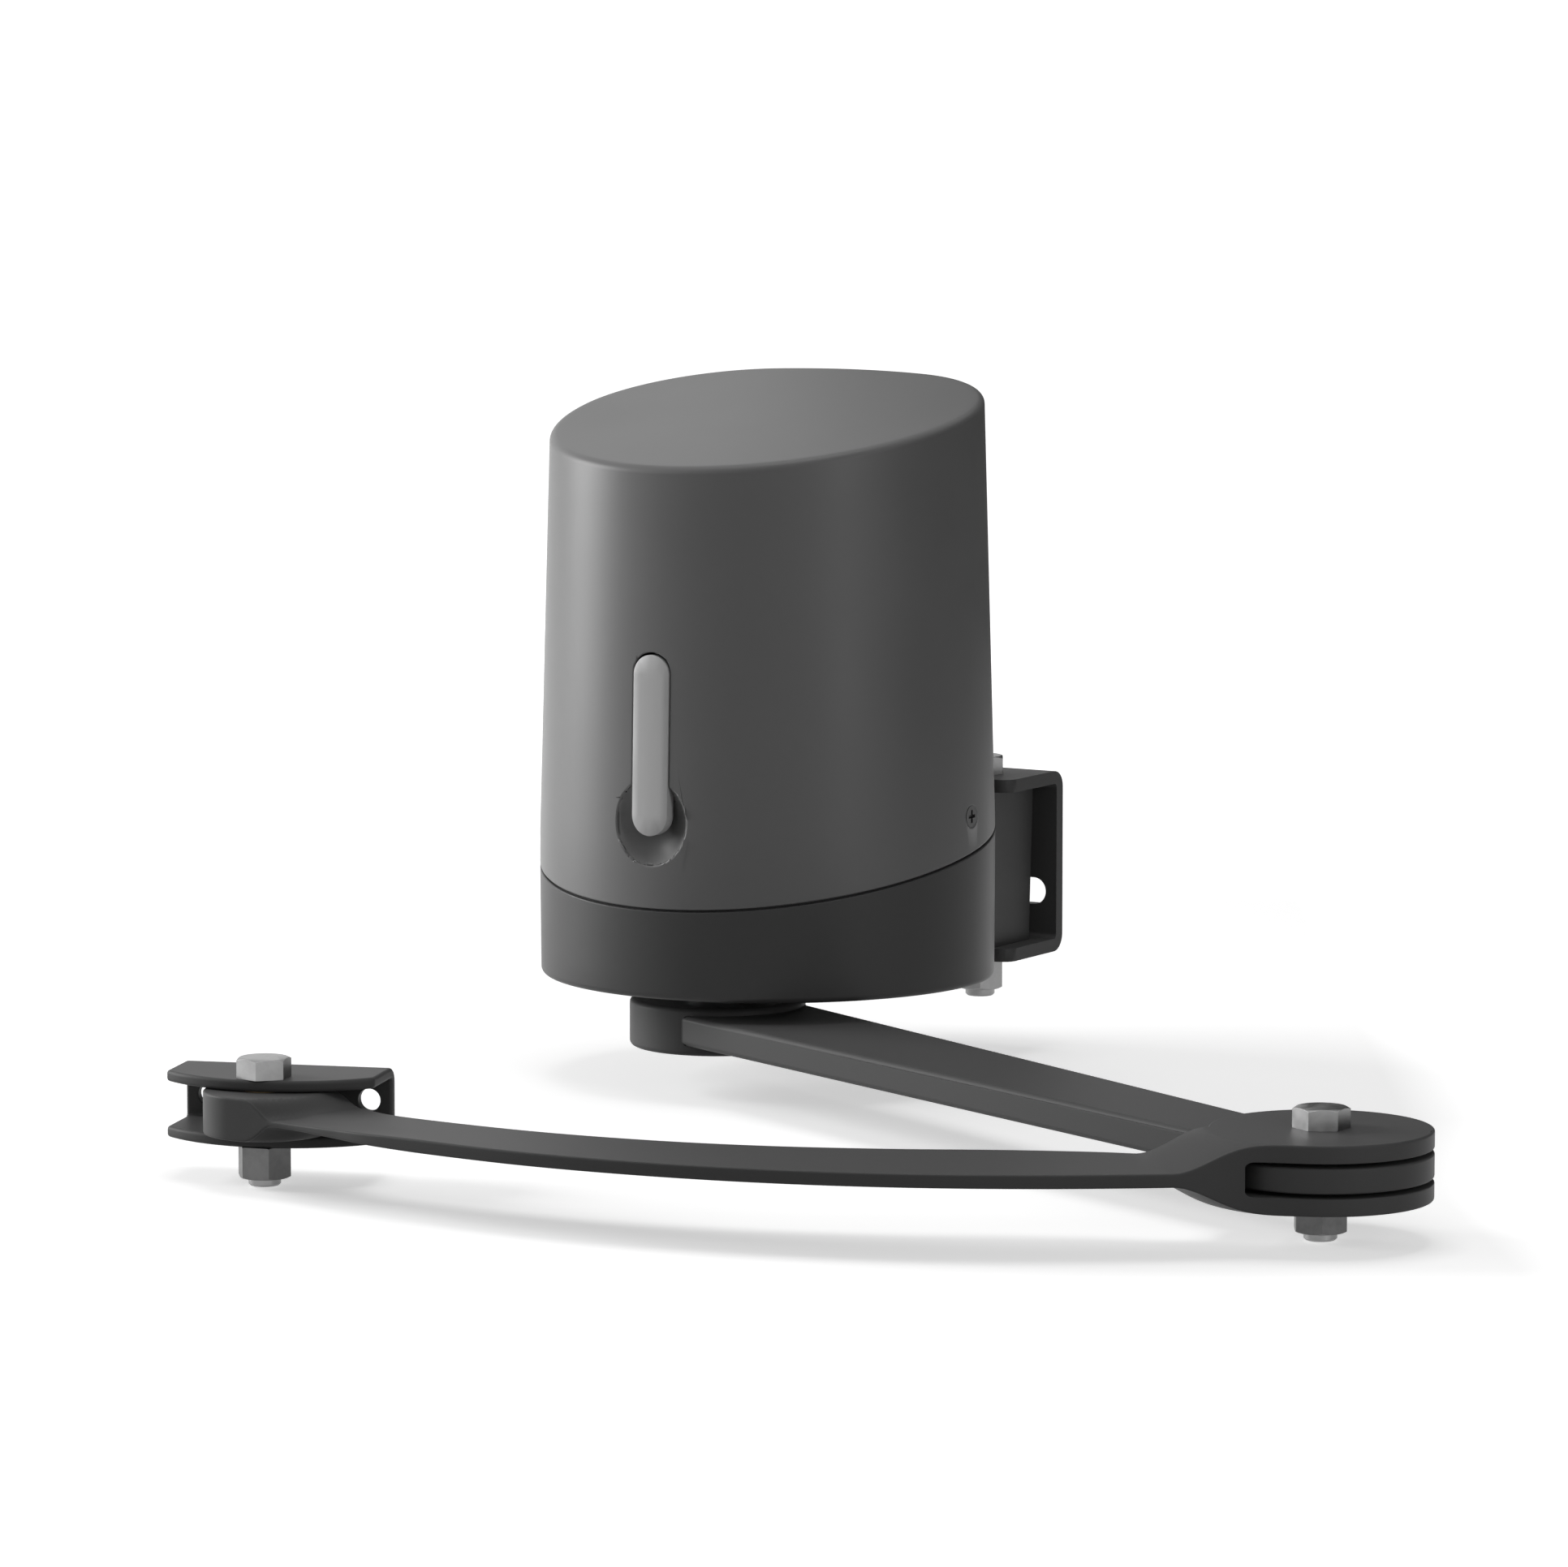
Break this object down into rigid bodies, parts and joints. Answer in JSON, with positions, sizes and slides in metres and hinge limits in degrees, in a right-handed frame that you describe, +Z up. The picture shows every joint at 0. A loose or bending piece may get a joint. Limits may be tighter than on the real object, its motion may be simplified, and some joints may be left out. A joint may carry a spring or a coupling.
{
  "type": "swing gate operator",
  "caption": "Articulated-arm swing gate operator: slant-topped oval housing on a wall channel, straight drive arm, bowed link arm, gate bracket and pull-out release lever.",
  "frame": {"origin": "centre of the wall bracket's wall face, midway across its width and height", "axes": "+Z up along the output shaft, +Y into the wall, +X to the side that the drive arm reaches towards at rest"},
  "size_m": [0.491, 0.4761, 0.2804],
  "materials": {
    "cover_plastic": "fine grained anthracite plastic",
    "skirt_plastic": "fine grained near-black plastic",
    "lever_plastic": "satin light grey plastic",
    "black_plastic": "plain black plastic",
    "nylon": "natural nylon",
    "black_paint": "satin black powder coat",
    "cast_chassis": "black coated casting",
    "cast_lid": "as-cast aluminium",
    "plain_steel": "machined steel",
    "zinc": "bright zinc plate",
    "dark_nut": "dark nickel plate",
    "dark_screw": "black zinc plate",
    "bronze": "sintered bronze",
    "rubber": "black moulded rubber"
  },
  "bodies": {
    "housing": {"top_cover": "cover_plastic", "base_skirt": "skirt_plastic", "cover_seal": "rubber", "cover_screws": "dark_screw", "chassis": "cast_chassis", "chassis_screws": "zinc", "gearbox_lid": "cast_lid", "lid_screws": "zinc", "lower_bush": "bronze", "upper_bush": "bronze", "shaft_seal": "rubber", "idler_bushes": "bronze", "rod_guide": "nylon", "planet_head": "cast_lid", "motor_can": "plain_steel", "motor_cap": "black_plastic", "head_screws": "zinc", "terminal_block": "nylon", "cable_grommet": "rubber", "lever_cradle": "black_plastic", "cradle_screws": "zinc", "lever_pin": "plain_steel", "wall_bracket": "black_paint", "bracket_bolts": "zinc", "bracket_washers": "zinc", "bracket_nuts": "zinc"},
    "drive_arm_body": {"output_shaft": "plain_steel", "output_gear": "plain_steel", "shaft_key": "plain_steel", "clutch_collar": "plain_steel", "collar_rings": "plain_steel", "drive_arm": "black_paint", "elbow_bush": "bronze", "hub_washer": "zinc", "hub_screw": "zinc"},
    "curved_arm_body": {"curved_arm": "black_paint", "eye_bush": "bronze", "elbow_bolt": "zinc", "elbow_nut": "dark_nut"},
    "gate_bracket_body": {"gate_bracket": "black_paint", "gate_bolt": "zinc", "gate_nut": "dark_nut"},
    "lever_body": {"release_lever": "lever_plastic"},
    "rod_body": {"release_rod": "plain_steel"},
    "idler_low_body": {"idler_low": "plain_steel"},
    "idler_high_body": {"idler_high": "plain_steel"},
    "motor_pinion_body": {"motor_pinion": "plain_steel"}
  },
  "joints": [
    {"name": "drive_swing", "type": "hinge", "parent": "housing", "child": "drive_arm_body", "pos_m": [0, -0.1605, -0.0504], "axis": [0, 0, 1], "range_deg": [-95, 25]},
    {"name": "elbow_fold", "type": "hinge", "parent": "drive_arm_body", "child": "curved_arm_body", "pos_m": [0.35801, -0.33666, -0.0504], "axis": [0, 0, 1], "range_deg": [-20, 110]},
    {"name": "gate_pivot", "type": "hinge", "parent": "curved_arm_body", "child": "gate_bracket_body", "pos_m": [-0.026, -0.4374, -0.0504], "axis": [0, 0, 1], "range_deg": [-35, 125]},
    {"name": "lever_pull", "type": "hinge", "parent": "housing", "child": "lever_body", "pos_m": [0, -0.20255, 0.0835], "axis": [-1, 0, 0], "range_deg": [0, 90]},
    {"name": "rod_push", "type": "slide", "parent": "housing", "child": "rod_body", "axis": [0, 0, -1], "range_m": [0, 0.005]},
    {"name": "idler_low_spin", "type": "hinge", "parent": "housing", "child": "idler_low_body", "pos_m": [0, -0.1095, 0], "axis": [0, 0, 1], "range_deg": [-73.58, 278.19]},
    {"name": "idler_high_spin", "type": "hinge", "parent": "housing", "child": "idler_high_body", "pos_m": [0.02579, -0.08973, 0], "axis": [0, 0, 1], "range_deg": [-926.14, 244.09]},
    {"name": "motor_pinion_spin", "type": "hinge", "parent": "housing", "child": "motor_pinion_body", "pos_m": [0, -0.093, 0], "axis": [0, 0, 1], "range_deg": [-812.47, 3085.97]}
  ],
  "couplings": [
    {"joint": "lever_pull", "follows": "rod_push", "rad_per_m": 314.16},
    {"joint": "idler_low_spin", "follows": "drive_swing", "ratio": -2.9231},
    {"joint": "idler_high_spin", "follows": "drive_swing", "ratio": 9.7436},
    {"joint": "motor_pinion_spin", "follows": "drive_swing", "ratio": -32.479}
  ]
}
